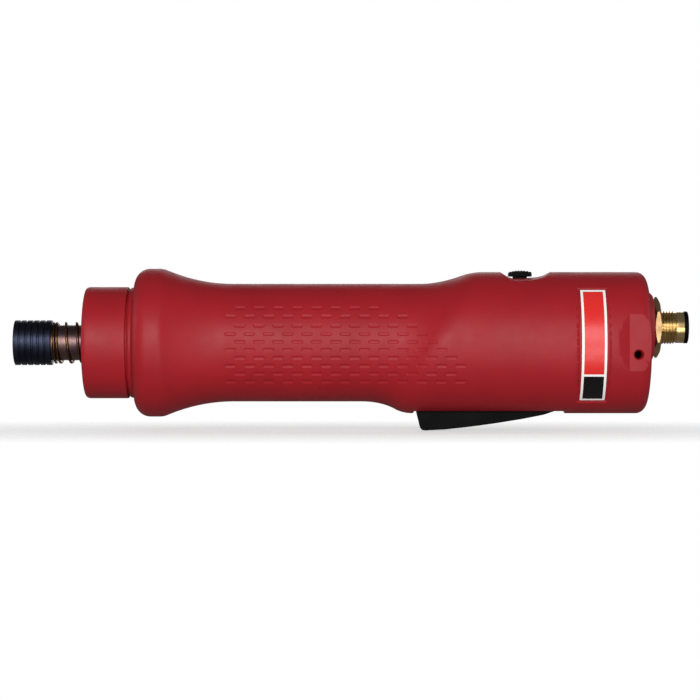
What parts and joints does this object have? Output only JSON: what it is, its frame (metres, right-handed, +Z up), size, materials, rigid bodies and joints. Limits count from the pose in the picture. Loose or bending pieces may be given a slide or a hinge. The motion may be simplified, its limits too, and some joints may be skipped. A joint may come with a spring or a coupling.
{
  "type": "electric torque screwdriver",
  "caption": "In-line electric torque screwdriver with quick-change hex chuck, turning torque collar, squeeze start lever, slide switch and round supply connector.",
  "frame": {"origin": "centre of the bit socket's mouth, on the tool axis", "axes": "+X along the tool axis from the chuck to the supply connector, +Z up with the start lever below (-Z) and the slide switch on top, +Y away from the labelled side"},
  "size_m": [0.242, 0.0534, 0.0582],
  "materials": {
    "red_plastic": "satin moulded plastic with a fine texture",
    "black_plastic": "satin moulded plastic",
    "white_plastic": "satin moulded plastic",
    "printed_label": "printed film, red over black with a white border",
    "black_steel": "blackened",
    "bronzed_steel": "turned, heat-tinted",
    "bronzed_spring": "drawn wire",
    "spring_steel": "drawn wire",
    "bright_steel": "ground",
    "gear_steel": "hobbed and hardened",
    "gear_brass": "hobbed",
    "gilt_brass": "gold-flashed",
    "die_cast": "die-cast",
    "magnet": "sintered",
    "core_iron": "laminated core with windings",
    "copper": "turned copper",
    "board": "circuit board",
    "seal_rubber": "moulded"
  },
  "bodies": {
    "tool_body": {"housing_left": "red_plastic", "housing_right": "red_plastic", "housing_screws": "black_steel", "side_label": "printed_label", "clutch_spring": "spring_steel", "clutch_plate": "bright_steel", "clutch_balls": "bright_steel", "gear_case": "die_cast", "clutch_ring_gear": "gear_steel", "fixed_ring_gear": "gear_steel", "nose_bearing": "bright_steel", "inner_bearing": "bright_steel", "motor_can": "bright_steel", "motor_magnets": "magnet", "motor_end_bell": "black_plastic", "motor_bushings": "gear_brass", "control_board": "board", "board_parts": "black_plastic", "trigger_switch": "black_plastic", "lever_pin": "bright_steel", "lever_spring": "spring_steel", "slide_base": "black_plastic", "connector_shell": "gilt_brass", "connector_nut": "gilt_brass", "connector_seal": "seal_rubber", "connector_insert": "black_plastic", "connector_pins": "gilt_brass"},
    "spindle": {"output_spindle": "bronzed_steel", "detent_balls": "bright_steel", "chuck_clip": "black_steel", "spring_washer": "black_steel", "chuck_spring": "bronzed_spring", "output_carrier": "gear_steel"},
    "sleeve": {"chuck_sleeve": "black_steel"},
    "collar": {"adjusting_collar": "red_plastic"},
    "seat": {"spring_seat": "bright_steel"},
    "carrier": {"first_carrier": "gear_steel"},
    "rotor": {"motor_shaft": "bright_steel", "armature": "core_iron", "commutator": "copper", "motor_pinion": "gear_brass"},
    "lever": {"start_lever": "black_plastic"},
    "plunger": {"switch_plunger": "white_plastic"},
    "knob": {"slide_knob": "black_plastic"},
    "first_planet_1": {"first_planet_1": "gear_brass"},
    "first_planet_2": {"first_planet_2": "gear_brass"},
    "first_planet_3": {"first_planet_3": "gear_brass"},
    "second_planet_1": {"second_planet_1": "gear_brass"},
    "second_planet_2": {"second_planet_2": "gear_brass"},
    "second_planet_3": {"second_planet_3": "gear_brass"}
  },
  "joints": [
    {"name": "rotor_spin", "type": "hinge", "parent": "tool_body", "child": "rotor", "pos_m": [0.105, 0, 0], "axis": [1, 0, 0], "continuous": true},
    {"name": "carrier_spin", "type": "hinge", "parent": "tool_body", "child": "carrier", "pos_m": [0.072, 0, 0], "axis": [1, 0, 0], "continuous": true},
    {"name": "spindle_spin", "type": "hinge", "parent": "tool_body", "child": "spindle", "pos_m": [0.03, 0, 0], "axis": [1, 0, 0], "continuous": true},
    {"name": "first_planet_1_spin", "type": "hinge", "parent": "carrier", "child": "first_planet_1", "pos_m": [0.078, 0, -0.0081], "axis": [1, 0, 0], "continuous": true},
    {"name": "first_planet_2_spin", "type": "hinge", "parent": "carrier", "child": "first_planet_2", "pos_m": [0.078, 0.00701, 0.00405], "axis": [1, 0, 0], "continuous": true},
    {"name": "first_planet_3_spin", "type": "hinge", "parent": "carrier", "child": "first_planet_3", "pos_m": [0.078, -0.00701, 0.00405], "axis": [1, 0, 0], "continuous": true},
    {"name": "second_planet_1_spin", "type": "hinge", "parent": "spindle", "child": "second_planet_1", "pos_m": [0.062, 0, -0.0081], "axis": [1, 0, 0], "continuous": true},
    {"name": "second_planet_2_spin", "type": "hinge", "parent": "spindle", "child": "second_planet_2", "pos_m": [0.062, 0.00701, 0.00405], "axis": [1, 0, 0], "continuous": true},
    {"name": "second_planet_3_spin", "type": "hinge", "parent": "spindle", "child": "second_planet_3", "pos_m": [0.062, -0.00701, 0.00405], "axis": [1, 0, 0], "continuous": true},
    {"name": "sleeve_slide", "type": "slide", "parent": "spindle", "child": "sleeve", "axis": [1, 0, 0], "range_m": [0, 0.0035], "stiffness_N_per_m": 600, "springref_m": -0.005, "deforming": ["chuck_spring"]},
    {"name": "collar_turn", "type": "hinge", "parent": "tool_body", "child": "collar", "pos_m": [0.035, 0, 0], "axis": [1, 0, 0], "range_deg": [0, 720]},
    {"name": "seat_slide", "type": "slide", "parent": "tool_body", "child": "seat", "axis": [1, 0, 0], "range_m": [0, 0.004], "deforming": ["clutch_spring"]},
    {"name": "lever_press", "type": "hinge", "parent": "tool_body", "child": "lever", "pos_m": [0.19408, 0, -0.0215], "axis": [0, 1, 0], "range_deg": [0, 6], "stiffness_Nm_per_rad": 1.5, "springref_deg": -5.73, "deforming": ["lever_spring"]},
    {"name": "plunger_slide", "type": "slide", "parent": "tool_body", "child": "plunger", "axis": [0, 0, 1], "range_m": [0, 0.00147]},
    {"name": "switch_slide", "type": "slide", "parent": "tool_body", "child": "knob", "axis": [1, 0, 0], "range_m": [0, 0.002]}
  ],
  "couplings": [
    {"joint": "carrier_spin", "follows": "rotor_spin", "ratio": 0.22222},
    {"joint": "spindle_spin", "follows": "rotor_spin", "ratio": 0.049383},
    {"joint": "first_planet_1_spin", "follows": "rotor_spin", "ratio": -0.62222},
    {"joint": "first_planet_2_spin", "follows": "rotor_spin", "ratio": -0.62222},
    {"joint": "first_planet_3_spin", "follows": "rotor_spin", "ratio": -0.62222},
    {"joint": "second_planet_1_spin", "follows": "rotor_spin", "ratio": -0.13827},
    {"joint": "second_planet_2_spin", "follows": "rotor_spin", "ratio": -0.13827},
    {"joint": "second_planet_3_spin", "follows": "rotor_spin", "ratio": -0.13827},
    {"joint": "seat_slide", "follows": "collar_turn", "m_per_rad": 0.00031825},
    {"joint": "plunger_slide", "follows": "lever_press", "m_per_rad": 0.014}
  ]
}
